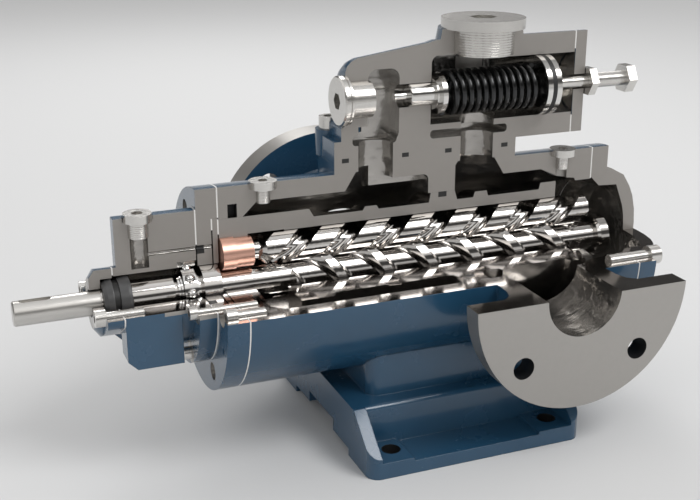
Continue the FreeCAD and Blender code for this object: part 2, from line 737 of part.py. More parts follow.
def valve_body_screws():
    screws = []
    for x, y in VALVE_SCREWS:
        screw = cap_screw(M10, 0.0, 34.0)
        screw.rotate(V(0, 0, 0), Y_AXIS, 90)
        screw.translate(V(x, y, 75.5))
        screws.append(screw)
    return Part.makeCompound(screws)


def valve_port_seals():
    seals = []
    for x in PORT_X:
        span = (PAD_TOP, PAD_TOP + PORT_SEAL - SLIP)
        seals.append(half_out(rod_z(28.95, span, x).cut(rod_z(23.05, span, x))))
    return Part.makeCompound(seals)


def valve_top_plug():
    return plug(33.7, (188.5, 196.5), TOP_PLUG_R, 167.7, 19, TOP_PLUG_X)


def valve_end_plug():
    head = turned([(-153, 0), (-153, 18.5), (-152, 19.5), (-148.6, 19.5), (-148.6, 18.4), (-147.6, 18.4),
                   (-147.6, 19.5), (-146, 19.5), (-146, 14.4), (-126, 14.4), (-126, 0)], 0, VALVE_Z)
    return head.cut(hexagon(12, (-160, -145), 0, VALVE_Z))


def relief_piston():
    """Guide stem, plunger in the seat bore and the collar that carries the spring."""
    return turned([(-105, 0), (-105, 3), (-93, 3), (-93, 8.2), (-92.2, 9), (-72, 9), (-72, 12.5), (-69, 12.5),
                   (-69, 16.5), (COLLAR_END, 16.5), (COLLAR_END, 0)], 0, VALVE_Z)


def relief_spring():
    length = SPRING[1] - SPRING[0] - 2 * SPRING_WIRE_R
    mean = SPRING_R - SPRING_WIRE_R
    helix = Part.makeLongHelix(length / SPRING_TURNS, length, mean, 0, False)
    wire = Part.Wire([Part.Circle(V(mean, 0, 0), Y_AXIS, SPRING_WIRE_R).toShape()])
    coil = Part.Wire(helix.Edges).makePipeShell([wire], True, True)
    coil.rotate(V(0, 0, 0), Y_AXIS, 90)
    coil.translate(V(SPRING[0] + SPRING_WIRE_R, 0, VALVE_Z))
    return coil


def spring_plate():
    left, right = PLATE
    return turned([(left, 0), (left, 24.8), (25.5, 24.8), (25.5, 21.5), (29.5, 21.5), (29.5, 24.8),
                   (right, 24.8), (right, 0)], 0, VALVE_Z)


def spring_plate_seal():
    return ring(24.85, 21.5 + SLIP, (25.55, 29.45), 0, VALVE_Z)


def adjusting_screw():
    start = PLATE[1] + 0.2
    spindle = turned([(start, 0), (start, SPINDLE_R), (70.8, SPINDLE_R), (70.8, SPINDLE_THREAD_R),
                      (108, SPINDLE_THREAD_R), (108, 0)], 0, VALVE_Z)
    return spindle.fuse(hexagon(22, (107.5, 115.5), 0, VALVE_Z)).removeSplitter()


def lock_nut():
    return hexagon(22, (71, 77.5), 0, VALVE_Z).cut(rod(SPINDLE_THREAD_R + RUN, (60, 90), 0, VALVE_Z))


def main():
    os.makedirs("parts", exist_ok=True)
    parts = {
        "pump_casing": pump_casing(),
        "pump_foot": pump_foot(),
        "bearing_cover": bearing_cover(),
        "bearing_cover_oring": bearing_cover_oring(),
        "bearing_cover_screws": screw_set(M8, -236, 22, BOLT_CIRCLE, SIXTH_TURNS),
        "bush_retainer": bush_retainer(),
        "retainer_gasket": retainer_gasket(),
        "liner_gasket": liner_gasket(),
        "casing_front_gasket": casing_front_gasket(),
        "casing_rear_gasket": casing_rear_gasket(),
        "seal_housing": seal_housing(),
        "seal_housing_screws": screw_set(M6, -237, 46, 48, SIXTH_TURNS),
        "bearing_gasket": bearing_gasket(),
        "seal_cover": seal_cover(),
        "seal_cover_gasket": seal_cover_gasket(),
        "seal_cover_screws": screw_set(M8, -319, 28, 32, (0, 180)),
        "rear_cover": rear_cover(),
        "rear_cover_screws": screw_set(M10, 62.0, 38, BOLT_CIRCLE + 1, SIXTH_TURNS, True),
        "rotor_liner": rotor_liner(),
        "liner_seal": liner_seal(),
        "drive_screw": drive_screw(),
        "shaft_sleeve": shaft_sleeve(),
        "shaft_circlip": shaft_circlip(),
        "upper_idler_screw": idler_screw(ROTOR_SPACING),
        "lower_idler_screw": idler_screw(-ROTOR_SPACING),
        "upper_idler_bush": idler_bush(ROTOR_SPACING),
        "lower_idler_bush": idler_bush(-ROTOR_SPACING),
        "bearing_outer_ring": bearing_outer_ring(),
        "bearing_inner_ring": bearing_inner_ring(),
        "bearing_balls": bearing_balls(),
        "bearing_cage": bearing_cage(),
        "seal_seat": seal_seat(),
        "seal_bellows": seal_bellows(),
        "seal_ring": seal_ring(),
        "casing_plugs": casing_plugs(),
        "vent_plug": vent_plug(),
        "valve_body": valve_body(),
        "valve_body_screws": valve_body_screws(),
        "valve_port_seals": valve_port_seals(),
        "valve_cover": valve_cover(),
        "valve_cover_gasket": valve_cover_gasket(),
        "valve_cover_screws": valve_cover_screws(),
        "valve_top_plug": valve_top_plug(),
        "valve_end_plug": valve_end_plug(),
        "relief_piston": relief_piston(),
        "relief_spring": relief_spring(),
        "spring_plate": spring_plate(),
        "spring_plate_seal": spring_plate_seal(),
        "adjusting_screw": adjusting_screw(),
        "lock_nut": lock_nut(),
    }
    for name, shape in parts.items():
        place(name, shape)
        state = "" if shape.isValid() else " NOT VALID"
        print(f"{name}: {len(shape.Solids)} solids, {shape.Volume / 1000:.2f} cm3{state}")


main()
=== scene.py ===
"""Looks of a sectioned three-screw pump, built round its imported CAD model.

Lengths are metres in the frame of the CAD model: x runs along the shaft from the drive end, +y is
the discharge side, z is up and the origin is under the middle of the foot.
"""
from __future__ import annotations

import json
import logging
import math
from dataclasses import dataclass
from enum import Enum

import bmesh
import bpy
from mathutils import Euler, Matrix, Vector


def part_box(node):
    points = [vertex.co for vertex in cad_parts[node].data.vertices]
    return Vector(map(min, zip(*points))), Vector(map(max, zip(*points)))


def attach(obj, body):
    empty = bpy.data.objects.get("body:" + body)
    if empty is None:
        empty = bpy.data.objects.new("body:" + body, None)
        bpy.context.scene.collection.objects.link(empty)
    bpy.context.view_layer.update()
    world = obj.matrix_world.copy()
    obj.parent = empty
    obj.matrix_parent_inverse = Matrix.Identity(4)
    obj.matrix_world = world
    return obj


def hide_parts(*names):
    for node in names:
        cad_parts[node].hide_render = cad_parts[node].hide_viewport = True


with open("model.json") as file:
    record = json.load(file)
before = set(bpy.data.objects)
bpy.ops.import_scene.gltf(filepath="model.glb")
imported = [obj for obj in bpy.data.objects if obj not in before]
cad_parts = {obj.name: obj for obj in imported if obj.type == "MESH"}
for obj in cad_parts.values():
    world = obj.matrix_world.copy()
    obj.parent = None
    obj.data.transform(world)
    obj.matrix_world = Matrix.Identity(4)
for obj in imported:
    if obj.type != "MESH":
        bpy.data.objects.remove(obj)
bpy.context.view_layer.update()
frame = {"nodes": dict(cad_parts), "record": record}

LOG = logging.getLogger("pump")
X, Y, Z = 0, 1, 2
HAIR = 0.00005  # a face this near to a plane lies in it
WELD = 0.000002  # corners nearer than this are one
FLAT = 0.99  # least cosine between the normals of a face and of the plane it lies in
SHARP_DEGREES = 32


def middle(node: str) -> Vector:
    """Centre of a CAD node's box.

    Args:
        node: name of the CAD node.

    Returns:
        The point, in metres.
    """
    low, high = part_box(node)
    return (low + high) / 2


# places along the shaft
AXIS_Z = middle("shaft_sleeve").z
VALVE_Z = middle("relief_spring").z
SUCTION_X = 0.073
DISCHARGE_X = -0.056
PORTS_X = (-0.047, 0.0435)
PLUGS_X = (-0.1417, 0.1264)
VENT_X = -0.24
SHAFT_STEP_X = -0.272
TOP_PLUG_X = 0.0453

# nozzle flanges
SUCTION_FACE_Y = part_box("pump_casing")[0].y
DISCHARGE_FACE_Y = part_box("pump_casing")[1].y
FLANGE_R = 0.0925
FLANGE_BACK_Y = 0.085
FLANGE_HOLE = 0.0725 * math.sqrt(0.5)
FLANGE_HOLE_REACH = 0.0094
NOZZLE_REACH = 0.033

# circles of screws round the shaft
COVER_CIRCLE = 0.065
SEAL_CIRCLE = 0.048
SEAL_COVER_CIRCLE = 0.032
REAR_CIRCLE = 0.066


class Coat(Enum):
    """What covers one face of a casting."""

    PAINT = 0
    CUT = 1
    DECK = 2
    INSIDE = 3
    MACHINED = 4
    # near-black painted shade on the walls of holes and pockets
    HOLE_SHADE = 5


@dataclass(frozen=True)
class Finish:
    """A procedural metal, paint, rubber or fibre surface.

    Attributes:
        name: name of the material.
        color: base colour, linear RGB.
        metal: metallic value.
        rough: middle of the roughness.
        rough_swing: how far the roughness wanders to each side.
        grain: patches of the roughness and colour per metre.
        stretch: how much longer the patches are along x.
        bump: height of the surface texture, in metres.
        bump_scale: bumps per metre.
        coat: weight of the clear coat.
        tint: how far the colour wanders.
        edge: radius to which sharp edges look rounded, in metres.
    """

    name: str
    color: tuple[float, float, float]
    metal: float = 0.0
    rough: float = 0.4
    rough_swing: float = 0.08
    grain: float = 60.0
    stretch: float = 1.0
    bump: float = 0.0
    bump_scale: float = 900.0
    coat: float = 0.0
    tint: float = 0.08
    edge: float = 0.0

    def build(self) -> bpy.types.Material:
        """Make the node material.

        Returns:
            The new material.
        """
        material = bpy.data.materials.new(self.name)
        material.use_nodes = True
        tree = material.node_tree
        tree.nodes.clear()
        out = tree.nodes.new("ShaderNodeOutputMaterial")
        shader = tree.nodes.new("ShaderNodeBsdfPrincipled")
        tree.links.new(shader.outputs["BSDF"], out.inputs["Surface"])
        shader.inputs["Metallic"].default_value = self.metal
        shader.inputs["Coat Weight"].default_value = self.coat
        shader.inputs["Coat Roughness"].default_value = 0.06
        place = tree.nodes.new("ShaderNodeTexCoord")
        mapping = tree.nodes.new("ShaderNodeMapping")
        mapping.inputs["Scale"].default_value = (1 / self.stretch, 1, 1)
        tree.links.new(place.outputs["Object"], mapping.inputs["Vector"])
        patches = self._noise(tree, mapping, self.grain, 4.0)
        rough = tree.nodes.new("ShaderNodeMapRange")
        rough.inputs["To Min"].default_value = max(0.02, self.rough - self.rough_swing)
        rough.inputs["To Max"].default_value = self.rough + self.rough_swing
        tree.links.new(patches.outputs["Fac"], rough.inputs["Value"])
        tree.links.new(rough.outputs["Result"], shader.inputs["Roughness"])
        mix = tree.nodes.new("ShaderNodeMix")
        mix.data_type = "RGBA"
        dark = tuple(c * (1 - self.tint) for c in self.color)
        light = tuple(min(1.0, c * (1 + self.tint)) for c in self.color)
        colors = [s for s in mix.inputs if s.type == "RGBA"]
        colors[0].default_value = (*dark, 1)
        colors[1].default_value = (*light, 1)
        tree.links.new(patches.outputs["Fac"], mix.inputs["Factor"])
        shade = next(s for s in mix.outputs if s.type == "RGBA")
        tree.links.new(shade, shader.inputs["Base Color"])
        if self.bump:
            fine = self._noise(tree, mapping, self.bump_scale, 3.0)
            bump = tree.nodes.new("ShaderNodeBump")
            bump.inputs["Distance"].default_value = self.bump
            tree.links.new(fine.outputs["Fac"], bump.inputs["Height"])
            tree.links.new(bump.outputs["Normal"], shader.inputs["Normal"])
            if self.edge:
                bevel = tree.nodes.new("ShaderNodeBevel")
                bevel.inputs["Radius"].default_value = self.edge
                tree.links.new(bevel.outputs["Normal"], bump.inputs["Normal"])
        return material

    @staticmethod
    def _noise(tree: bpy.types.NodeTree, mapping: bpy.types.Node, scale: float,
               detail: float) -> bpy.types.Node:
        """One noise texture on the object's own coordinates.

        Args:
            tree: the material's nodes.
            mapping: node that stretches the coordinates.
            scale: patches per metre.
            detail: how many finer layers it has.

        Returns:
            The texture node.
        """
        noise = tree.nodes.new("ShaderNodeTexNoise")
        noise.inputs["Scale"].default_value = scale
        noise.inputs["Detail"].default_value = detail
        tree.links.new(mapping.outputs["Vector"], noise.inputs["Vector"])
        return noise


PAINT = Finish("blue_enamel", (0.017, 0.064, 0.122), rough=0.26, rough_swing=0.06, grain=40, bump=0.00004,
               bump_scale=700, coat=0.5, tint=0.12, edge=0.0012)
CUT = Finish("cut_face", (0.33, 0.312, 0.292), metal=0.7, rough=0.42, rough_swing=0.05, grain=120, tint=0.04)
DECK = Finish("polished_cut", (0.5, 0.475, 0.455), metal=1.0, rough=0.1, rough_swing=0.04, grain=50,
              tint=0.04)
# Cavity walls: a metal that reflects for real. Its colour is lifted, and its strong colour patches, stretched
# along x, are painted reflection streaks.
INSIDE = Finish("cavity_painted_streaks", (0.38, 0.365, 0.345), metal=0.92, rough=0.2, rough_swing=0.1, grain=34,
                stretch=2.5, bump=0.003, bump_scale=42, tint=0.75)
MACHINED = Finish("machined_face", (0.4, 0.385, 0.365), metal=0.8, rough=0.36, rough_swing=0.05, grain=200,
                  tint=0.04)
LINER = Finish("liner_iron", (0.46, 0.44, 0.42), metal=1.0, rough=0.2, rough_swing=0.05, grain=150, tint=0.06)
# Near-black painted shade: the walls of holes and pockets are coloured dark so that they look shaded.
HOLE_SHADE = Finish("painted_hole_shade", (0.02, 0.02, 0.021), metal=0.4, rough=0.5, grain=200)
CHROME = Finish("rotor_steel", (0.63, 0.61, 0.59), metal=1.0, rough=0.1, rough_swing=0.03, grain=120,
                stretch=8)
BEARING = Finish("bearing_steel", (0.74, 0.73, 0.72), metal=1.0, rough=0.07, rough_swing=0.02, grain=200)
BRONZE = Finish("bronze", (0.8, 0.47, 0.37), metal=0.95, rough=0.34, rough_swing=0.04, grain=60)
SHAFT_END = Finish("shaft_end_steel", (0.6, 0.585, 0.56), metal=0.95, rough=0.3, rough_swing=0.05, grain=200,
                   stretch=6)
BOLT = Finish("bolt_steel", (0.66, 0.645, 0.62), metal=0.95, rough=0.24, rough_swing=0.06, grain=300)
VALVE_STEEL = Finish("valve_steel", (0.7, 0.69, 0.67), metal=1.0, rough=0.14, rough_swing=0.05, grain=200)
SPRING = Finish("spring_steel", (0.03, 0.031, 0.032), metal=0.8, rough=0.2, rough_swing=0.05, grain=200,
                coat=0.4)
GASKET = Finish("gasket_fibre", (0.75, 0.74, 0.72), rough=0.7, grain=900, bump=0.00003, bump_scale=2500)
RUBBER = Finish("seal_rubber", (0.014, 0.014, 0.014), rough=0.45, grain=300)
CARBON = Finish("seal_carbon", (0.085, 0.085, 0.086), metal=0.3, rough=0.34, rough_swing=0.06, grain=200)

SLOT_FINISH = {
    "painted_casting": PAINT,
    "liner_iron": LINER,
    "rotor_steel": CHROME,
    "bearing_steel": BEARING,
    "bronze": BRONZE,
    "bolt_steel": BOLT,
    "valve_steel": VALVE_STEEL,
    "spring_steel": SPRING,
    "gasket": GASKET,
    "seal_rubber": RUBBER,
    "seal_carbon": CARBON,
}


class Workshop:
    """Keeps one material for each finish."""

    def __init__(self) -> None:
        """Start with no material made."""
        self._made: dict[str, bpy.types.Material] = {}

    def material(self, finish: Finish) -> bpy.types.Material:
        """The material of a finish, made on first use.

        Args:
            finish: the finish.

        Returns:
            Its material.
        """
        if finish.name not in self._made:
            self._made[finish.name] = finish.build()
        return self._made[finish.name]


def smooth_by_angle(mesh: bpy.types.Mesh, degrees: float) -> None:
    """Shade smooth and keep edges sharper than an angle.

    Args:
        mesh: the mesh, with its doubles merged.
        degrees: the angle.
    """
    bm = bmesh.new()
    bm.from_mesh(mesh)
    limit = math.radians(degrees)
    for face in bm.faces:
        face.smooth = True
    for edge in bm.edges:
        edge.smooth = len(edge.link_faces) == 2 and edge.calc_face_angle(0.0) < limit
    bm.to_mesh(mesh)
    bm.free()


@dataclass(frozen=True)
class Bore:
    """A round space in a casting.

    Attributes:
        along: axis of the bore, X, Y or Z.
        centre: the other two coordinates of its axis.
        radius: reach of its wall from the axis.
        low: where it starts along the axis.
        high: where it ends.
        coat: coat of its wall.
    """

    along: int
    centre: tuple[float, float]
    radius: float
    low: float
    high: float
    coat: Coat = Coat.INSIDE

    def holds(self, at: Vector) -> bool:
        """Whether a point lies in the bore.

        Args:
            at: the point.

        Returns:
            True inside the wall and between the ends.
        """
        if not self.low < at[self.along] < self.high:
            return False
        across = [value for axis, value in enumerate(at) if axis != self.along]
        return math.hypot(across[0] - self.centre[0], across[1] - self.centre[1]) < self.radius


def screw_bores(circle: float, radius: float, low: float, high: float) -> list[Bore]:
    """Bare bores for screws round the shaft.

    Args:
        circle: radius of the circle that they stand on.
        radius: reach of their walls.
        low: where they start along the shaft.
        high: where they end.

    Returns:
        One bore for each of the six screws.
    """
    bores = []
    for step in range(6):
        angle = math.radians(60 * step)
        centre = (circle * math.cos(angle), AXIS_Z + circle * math.sin(angle))
        bores.append(Bore(X, centre, radius, low, high, Coat.MACHINED))
    return bores


@dataclass
class Casting:
    """A casting whose faces are enamelled, cut, machined, bright inside with painted reflection streaks, or
    dark in holes with painted shade.

    Attributes:
        node: the CAD node that it is made from.
        reach: radius round the shaft within which its faces are inside.
        bores: further spaces in it.
        skin: finish of its outside.
        bare: finish of its machined faces.
        slot: material slot of the record; not used.
        body: the body that it rides on.
    """

    node: str
    reach: float = 0.0
    bores: tuple[Bore, ...] = ()
    skin: Finish = PAINT
    bare: Finish = MACHINED
    slot: str = "painted_casting"
    body: str = "pump_body"

    def coat(self, at: Vector, normal: Vector) -> Coat:
        """Coat of the face at a point.

        Args:
            at: middle of the face.
            normal: its outward direction.

        Returns:
            The coat.
        """
        if abs(at.y) < HAIR and normal.y < -FLAT and at.z > AXIS_Z - HAIR:
            return Coat.CUT
        if abs(at.z - AXIS_Z) < HAIR and normal.z > FLAT and at.y < HAIR:
            return Coat.DECK
        for bore in self.bores:
            if bore.holds(at):
                return bore.coat
        if self.inside(at, normal):
            return Coat.INSIDE
        if self.machined(at, normal):
            return Coat.MACHINED
        return Coat.PAINT

    def inside(self, at: Vector, normal: Vector) -> bool:
        """Whether the face belongs to the space round the shaft."""
        return math.hypot(at.y, at.z - AXIS_Z) < self.reach

    def machined(self, at: Vector, normal: Vector) -> bool:
        """Whether the face is bare machined metal on the outside."""
        return False

    def build(self, shop: Workshop) -> bpy.types.Object:
        """Make the dressed copy that stands for the CAD node.

        Args:
            shop: where the materials come from.

        Returns:
            The new piece.
        """
        mesh = frame["nodes"][self.node].data.copy()
        mesh.materials.clear()
        # The order follows Coat; the last finish is the near-black painted shade of holes and pockets.
        for finish in (self.skin, CUT, DECK, INSIDE, self.bare, HOLE_SHADE):
            mesh.materials.append(shop.material(finish))
        bm = bmesh.new()
        bm.from_mesh(mesh)
        bmesh.ops.remove_doubles(bm, verts=bm.verts, dist=WELD)
        for face in bm.faces:
            face.material_index = self.coat(face.calc_center_median(), face.normal).value
        bm.to_mesh(mesh)
        bm.free()
        smooth_by_angle(mesh, SHARP_DEGREES)
        piece = bpy.data.objects.new(self.node + "_dressed", mesh)
        bpy.context.scene.collection.objects.link(piece)
        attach(piece, self.body)
        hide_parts(self.node)
        LOG.info("%s: %d faces", piece.name, len(mesh.polygons))
        return piece


class PumpCasing(Casting):
    """Middle casting with both nozzles and the valve pad."""

    RIM_SLACK = 0.0006
    PAD_TOP = 0.088

    def machined(self, at: Vector, normal: Vector) -> bool:
        """Sealing faces and rims of the nozzle flanges, and the top of the pad.

        Args:
            at: middle of the face.
            normal: its outward direction.

        Returns:
            Whether the face is bare.
        """
        for x, face in ((SUCTION_X, SUCTION_FACE_Y), (DISCHARGE_X, DISCHARGE_FACE_Y)):
            if abs(at.y - face) < HAIR:
                return True
            rim = abs(math.hypot(at.x - x, at.z - AXIS_Z) - FLANGE_R) < self.RIM_SLACK
            if rim and abs(at.y) > FLANGE_BACK_Y:
                return True
        return at.z > AXIS_Z + self.PAD_TOP and normal.z > 0.9


class DriveScrew(Casting):
    """Driving screw: mirror bright, with a satin shaft end."""

    def coat(self, at: Vector, normal: Vector) -> Coat:
        """Coat of the face at a point; only the shaft end is satin."""
        return Coat.MACHINED if at.x < SHAFT_STEP_X + HAIR else Coat.PAINT


class RearCover(Casting):
    """Domed cover: whatever faces the shaft is its inside."""

    def inside(self, at: Vector, normal: Vector) -> bool:
        """Whether the face belongs to the chamber in the cover."""
        out = Vector((0, at.y, at.z - AXIS_Z))
        return out.length < self.reach and (normal.dot(out) < 0 or normal.x < -0.5)


class ValveBody(Casting):
    """Half body of the relief valve.

    Its chambers are steps of (start, end, top) along the shaft, with the top above the shaft axis.
    """

    SPRING_REACH = 0.0258
    GUIDE_REACH = 0.0148
    CHAMBER_DEPTH = 0.0225
    CHAMBER_FLOOR = 0.0885
    CHAMBERS = ((-0.069, -0.05, 0.11), (-0.055, 0.0, 0.161), (0.0, 0.131, 0.1695))

    def coat(self, at: Vector, normal: Vector) -> Coat:
        """Coat of the face at a point; the whole section is a cut face.

        Args:
            at: middle of the face.
            normal: its outward direction.

        Returns:
            The coat.
        """
        if abs(at.y) < HAIR and normal.y < -FLAT:
            return Coat.CUT
        return super().coat(at, normal)

    def inside(self, at: Vector, normal: Vector) -> bool:
        """Whether the face belongs to a chamber or bore.

        Args:
            at: middle of the face.
            normal: its outward direction.

        Returns:
            True for faces that the oil touches.
        """
        reach = self.SPRING_REACH if at.x > 0 else self.GUIDE_REACH
        if math.hypot(at.y, at.z - VALVE_Z) < reach:
            return True
        height = at.z - AXIS_Z
        if at.y > self.CHAMBER_DEPTH or height < self.CHAMBER_FLOOR:
            return False
        return any(start < at.x < end and height < top for start, end, top in self.CHAMBERS)


def casing_bores() -> list[Bore]:
    """Spaces of the middle casting that the shaft's own space doesn't reach.

    Returns:
        Nozzles, flange holes, ports, plug and screw holes, and the two pockets.
    """
    bores = [
        Bore(Y, (SUCTION_X, AXIS_Z), NOZZLE_REACH, low=-0.14, high=-0.03),
        Bore(Y, (DISCHARGE_X, AXIS_Z), NOZZLE_REACH, low=0.03, high=0.13),
    ]
    # The flange holes get the near-black painted shade.
    for side in (-1, 1):
        centre = (SUCTION_X + side * FLANGE_HOLE, AXIS_Z - FLANGE_HOLE)
        bores.append(Bore(Y, centre, FLANGE_HOLE_REACH, low=-0.14, high=-0.1, coat=Coat.HOLE_SHADE))
        for up in (-1, 1):
            centre = (DISCHARGE_X + side * FLANGE_HOLE, AXIS_Z + up * FLANGE_HOLE)
            bores.append(Bore(Y, centre, FLANGE_HOLE_REACH, low=0.08, high=0.13, coat=Coat.HOLE_SHADE))
    roof = AXIS_Z + 0.05
    for x in PORTS_X:
        bores.append(Bore(Z, (x, 0), radius=0.0326, low=roof, high=AXIS_Z + 0.088))
    for x in PLUGS_X:
        bores.append(Bore(Z, (x, 0), radius=0.0114, low=roof, high=AXIS_Z + 0.0805, coat=Coat.MACHINED))
    bores.append(Bore(X, (0, 0.19), radius=0.0235, low=-0.05, high=0.0004))
    # The small pocket gets the near-black painted shade.
    bores.append(Bore(X, (0, 0.193), radius=0.0115, low=-0.171, high=-0.1625, coat=Coat.HOLE_SHADE))
    bores += screw_bores(COVER_CIRCLE, radius=0.0044, low=-0.19, high=-0.15)
    bores += screw_bores(REAR_CIRCLE, radius=0.0054, low=0.13, high=0.17)
    return bores


def cover_bores() -> list[Bore]:
    """Screw holes in the bearing cover."""
    start, end = -0.2, -0.178
    return screw_bores(COVER_CIRCLE, 0.0074, start, end) + screw_bores(SEAL_CIRCLE, 0.0035, start, end)


def housing_bores() -> list[Bore]:
    """Screw pockets, oil channel and vent of the seal housing.

    Returns:
        One bore for each.
    """
    rim = AXIS_Z + 0.06
    return screw_bores(SEAL_CIRCLE, radius=0.0087, low=-0.233, high=-0.19) + [
        Bore(X, (0, AXIS_Z + 0.0332), radius=0.0018, low=-0.24, high=-0.19),
        Bore(Z, (VENT_X, 0), radius=0.008, low=AXIS_Z + 0.02, high=rim + 0.0004),
        Bore(Z, (VENT_X, 0), radius=0.0117, low=rim - 0.0002, high=rim + 0.004, coat=Coat.MACHINED),
    ]


def foot_bores() -> list[Bore]:
    """The four bolt holes of the foot."""
    places = [(x, y) for x in (-0.07, 0.07) for y in (-0.0875, 0.0875)]
    # The bolt holes get the near-black painted shade.
    return [Bore(Z, place, radius=0.0078, low=-0.001, high=0.03, coat=Coat.HOLE_SHADE) for place in places]


def casting_list() -> list[Casting]:
    """Every casting with its spaces.

    Returns:
        The castings, in the order in which they are made.
    """
    metal = {"skin": LINER, "slot": "liner_iron"}
    rear_bores = screw_bores(REAR_CIRCLE, radius=0.0088, low=0.15, high=0.21)
    plug_seat = Bore(Z, (TOP_PLUG_X, 0), radius=0.0262, low=0.28, high=0.33, coat=Coat.MACHINED)
    return [
        PumpCasing("pump_casing", reach=0.0655, bores=tuple(casing_bores())),
        Casting("bearing_cover", reach=0.0356, bores=tuple(cover_bores())),
        Casting("seal_housing", reach=0.0237, bores=tuple(housing_bores())),
        Casting("seal_cover", reach=0.0182),
        RearCover("rear_cover", reach=0.0535, bores=tuple(rear_bores)),
        Casting("rotor_liner", reach=0.0268, **metal),
        Casting("bush_retainer", reach=0.019, **metal),
        ValveBody("valve_body", bores=(plug_seat,)),
        ValveBody("valve_cover"),
        Casting("pump_foot", bores=tuple(foot_bores())),
        DriveScrew("drive_screw", skin=CHROME, bare=SHAFT_END, slot="rotor_steel", body="drive_rotor"),
    ]


@dataclass(frozen=True)
class Thread:
    """A run of helical thread on a screw or plug.

    Attributes:
        name: name of the piece that it goes into.
        along: axis of the thread, X or Z.
        start: lowest point of its axis.
        length: how far it runs.
        radius: radius of the plain cylinder under it.
        pitch: distance between turns.
    """

    name: str
    along: int
    start: tuple[float, float, float]
    length: float
    radius: float
    pitch: float


class ThreadCutter:
    """Makes thread ridges with one Geometry Nodes tree."""

    HEIGHT = 0.32  # of the pitch
    SUNK = 0.35  # of the height
    POINTS_PER_TURN = 28
    PROFILE_CORNERS = 4
    INPUTS = (("Radius", "NodeSocketFloat"), ("Length", "NodeSocketFloat"), ("Pitch", "NodeSocketFloat"),
              ("Ridge", "NodeSocketFloat"), ("Steel", "NodeSocketMaterial"))

    def __init__(self) -> None:
        """Build the tree."""
        self.tree = bpy.data.node_groups.new("thread_ridge", "GeometryNodeTree")
        face = self.tree.interface
        self.sockets = {name: face.new_socket(name, in_out="INPUT", socket_type=kind).identifier
                        for name, kind in self.INPUTS}
        face.new_socket("Geometry", in_out="OUTPUT", socket_type="NodeSocketGeometry")
        nodes, links = self.tree.nodes, self.tree.links
        given = nodes.new("NodeGroupInput")
        turns = nodes.new("ShaderNodeMath")
        turns.operation = "DIVIDE"
        links.new(given.outputs["Length"], turns.inputs[0])
        links.new(given.outputs["Pitch"], turns.inputs[1])
        spiral = nodes.new("GeometryNodeCurveSpiral")
        spiral.inputs["Resolution"].default_value = self.POINTS_PER_TURN
        links.new(turns.outputs["Value"], spiral.inputs["Rotations"])
        links.new(given.outputs["Radius"], spiral.inputs["Start Radius"])
        links.new(given.outputs["Radius"], spiral.inputs["End Radius"])
        links.new(given.outputs["Length"], spiral.inputs["Height"])
        upright = nodes.new("GeometryNodeSetCurveNormal")
        upright.mode = "Z_UP"
        links.new(spiral.outputs["Curve"], upright.inputs["Curve"])
        profile = nodes.new("GeometryNodeCurvePrimitiveCircle")
        profile.inputs["Resolution"].default_value = self.PROFILE_CORNERS
        links.new(given.outputs["Ridge"], profile.inputs["Radius"])
        sweep = nodes.new("GeometryNodeCurveToMesh")
        sweep.inputs["Fill Caps"].default_value = True
        links.new(upright.outputs["Curve"], sweep.inputs["Curve"])
        links.new(profile.outputs["Curve"], sweep.inputs["Profile Curve"])
        whole = nodes.new("GeometryNodeRealizeInstances")
        links.new(sweep.outputs["Mesh"], whole.inputs["Geometry"])
        dress = nodes.new("GeometryNodeSetMaterial")
        links.new(whole.outputs["Geometry"], dress.inputs["Geometry"])
        links.new(given.outputs["Steel"], dress.inputs["Material"])
        out = nodes.new("NodeGroupOutput")
        links.new(dress.outputs["Geometry"], out.inputs["Geometry"])

    def ridge(self, thread: Thread, steel: bpy.types.Material) -> bpy.types.Mesh:
        """Bake one ridge and lay it on its axis.

        Args:
            thread: the run of thread.
            steel: its material.

        Returns:
            The mesh, in place.
        """
        holder = bpy.data.objects.new("ridge", bpy.data.meshes.new("ridge"))
        bpy.context.scene.collection.objects.link(holder)
        live = holder.modifiers.new("thread", "NODES")
        live.node_group = self.tree
        height = self.HEIGHT * thread.pitch
        values = {"Radius": thread.radius - self.SUNK * height, "Length": thread.length,
                  "Pitch": thread.pitch, "Ridge": height, "Steel": steel}
        for name, value in values.items():
            live[self.sockets[name]] = value
        graph = bpy.context.evaluated_depsgraph_get()
        mesh = bpy.data.meshes.new_from_object(holder.evaluated_get(graph))
        holder.modifiers.remove(live)
        bpy.data.objects.remove(holder)
        if thread.along == X:
            mesh.transform(Euler((0, math.radians(90), 0)).to_matrix().to_4x4())
        mesh.transform(Matrix.Translation(thread.start))
        return mesh

    def build(self, threads: list[Thread], body: str, steel: bpy.types.Material) -> None:
        """Make one piece out of threads on the same body.

        Args:
            threads: the runs of thread.
            body: the body that they ride on.
            steel: their material.
        """
        bm = bmesh.new()
        for thread in threads:
            bm.from_mesh(self.ridge(thread, steel))
        bmesh.ops.recalc_face_normals(bm, faces=bm.faces)
        mesh = bpy.data.meshes.new(threads[0].name)
        bm.to_mesh(mesh)
        bm.free()
        mesh.materials.append(steel)
        piece = bpy.data.objects.new(threads[0].name, mesh)
        bpy.context.scene.collection.objects.link(piece)
        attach(piece, body)
        LOG.info("%s: %d faces", piece.name, len(mesh.polygons))


def screw_threads(name: str, circle: float, steps: tuple[int, ...], low: float, high: float,
                  radius: float, pitch: float) -> list[Thread]:
    """Threads on the tips of screws round the shaft.

    Args:
        name: name of the piece.
        circle: radius of the circle that the screws stand on.
        steps: which of the six places have a screw.
        low: where the threads start along the shaft.
        high: where they end.
        radius: radius of the shanks.
        pitch: distance between turns.

    Returns:
        One thread for each screw.
    """
    threads = []
    for step in steps:
        angle = math.radians(60 * step)
        start = (low, circle * math.cos(angle), AXIS_Z + circle * math.sin(angle))
        threads.append(Thread(name, X, start, high - low, radius, pitch))
    return threads


